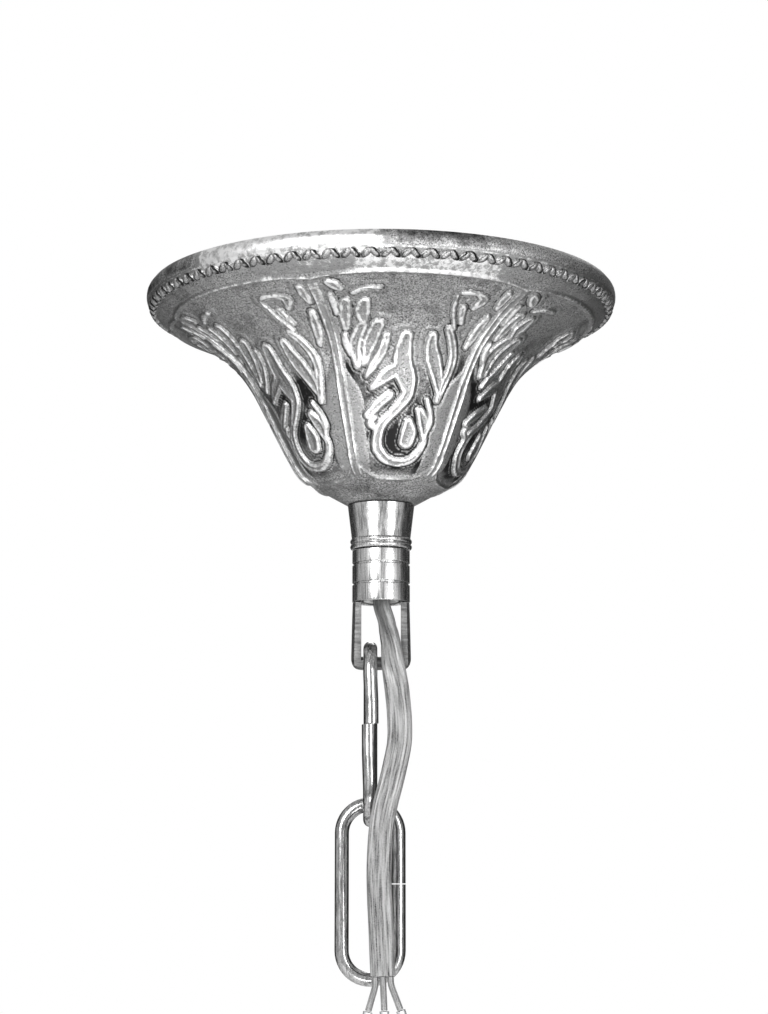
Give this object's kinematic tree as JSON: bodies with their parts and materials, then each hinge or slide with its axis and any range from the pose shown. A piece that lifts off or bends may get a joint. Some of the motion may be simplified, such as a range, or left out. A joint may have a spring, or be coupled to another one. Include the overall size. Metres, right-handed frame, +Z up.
{
  "type": "chandelier ceiling canopy",
  "caption": "Chandelier ceiling canopy with embossed acanthus panels, screw collar, yoke, chain links, ceiling bracket, terminal block and clear flat cable.",
  "frame": {"origin": "on the canopy's axis, in the ceiling plane", "axes": "+Z up into the ceiling, -Y towards the canopy's front, +X to the right seen from the front"},
  "size_m": [0.1298, 0.1298, 0.2027],
  "materials": {
    "canopy_chrome": "embossed steel sheet, polished chrome plate, darker in the fields",
    "collar_chrome": "turned steel, polished chrome plate",
    "chain_chrome": "bent steel wire, chrome plate",
    "cast_metal": "cast zinc alloy with a fine cast skin, satin plate",
    "zinc_steel": "zinc-plated steel",
    "terminal_brass": "turned brass",
    "block_plastic": "moulded white plastic",
    "bush_plastic": "moulded white plastic",
    "cable_sheath": "clear plastic sheath over tinned strands, glossy",
    "core_sheath": "clear plastic core sheath, glossy",
    "ferrule_tin": "tinned copper ferrule"
  },
  "bodies": {
    "root": {"ceiling_bracket": "zinc_steel", "nipple": "zinc_steel", "nipple_nut_upper": "zinc_steel", "lock_washer": "zinc_steel", "nipple_nut_lower": "zinc_steel", "nipple_bush": "bush_plastic", "terminal_block": "block_plastic", "terminal_insert_1": "terminal_brass", "terminal_insert_2": "terminal_brass", "terminal_insert_3": "terminal_brass", "clamp_screw_front_1": "zinc_steel", "clamp_screw_front_2": "zinc_steel", "clamp_screw_front_3": "zinc_steel", "clamp_screw_back_1": "zinc_steel", "clamp_screw_back_2": "zinc_steel", "clamp_screw_back_3": "zinc_steel", "block_fixing_screw": "zinc_steel", "earth_screw": "terminal_brass", "earth_washer": "terminal_brass", "cable_coil": "cable_sheath", "cable_riser": "cable_sheath", "core_upper_1": "core_sheath", "core_upper_2": "core_sheath", "core_upper_3": "core_sheath"},
    "canopy": {"canopy": "canopy_chrome", "canopy_washer": "zinc_steel"},
    "collar": {"collar_sleeve": "collar_chrome", "collar_barrel": "collar_chrome", "yoke": "cast_metal", "exit_bush": "bush_plastic", "cable_tail": "cable_sheath", "core_lower_1": "core_sheath", "core_lower_2": "core_sheath", "core_lower_3": "core_sheath", "ferrule_1": "ferrule_tin", "ferrule_2": "ferrule_tin", "ferrule_3": "ferrule_tin"},
    "upper_link": {"link_1": "chain_chrome"},
    "lower_link": {"link_2": "chain_chrome"}
  },
  "joints": [
    {"name": "canopy_slide", "type": "slide", "parent": "root", "child": "canopy", "axis": [0, 0, -1], "range_m": [0, 0.00625]},
    {"name": "collar_turn", "type": "hinge", "parent": "canopy", "child": "collar", "pos_m": [0, 0, -0.073], "axis": [0, 0, -1], "range_deg": [0, 2250]},
    {"name": "upper_link_swing", "type": "hinge", "parent": "collar", "child": "upper_link", "pos_m": [-0.0029, 0, -0.1075], "axis": [1, 0, 0], "range_deg": [0, 45]},
    {"name": "lower_link_swing", "type": "hinge", "parent": "upper_link", "child": "lower_link", "pos_m": [-0.0029, 0, -0.1496], "axis": [0, 1, 0], "range_deg": [-60, 60]}
  ],
  "couplings": [
    {"joint": "collar_turn", "follows": "canopy_slide", "rad_per_m": 6283.2}
  ]
}
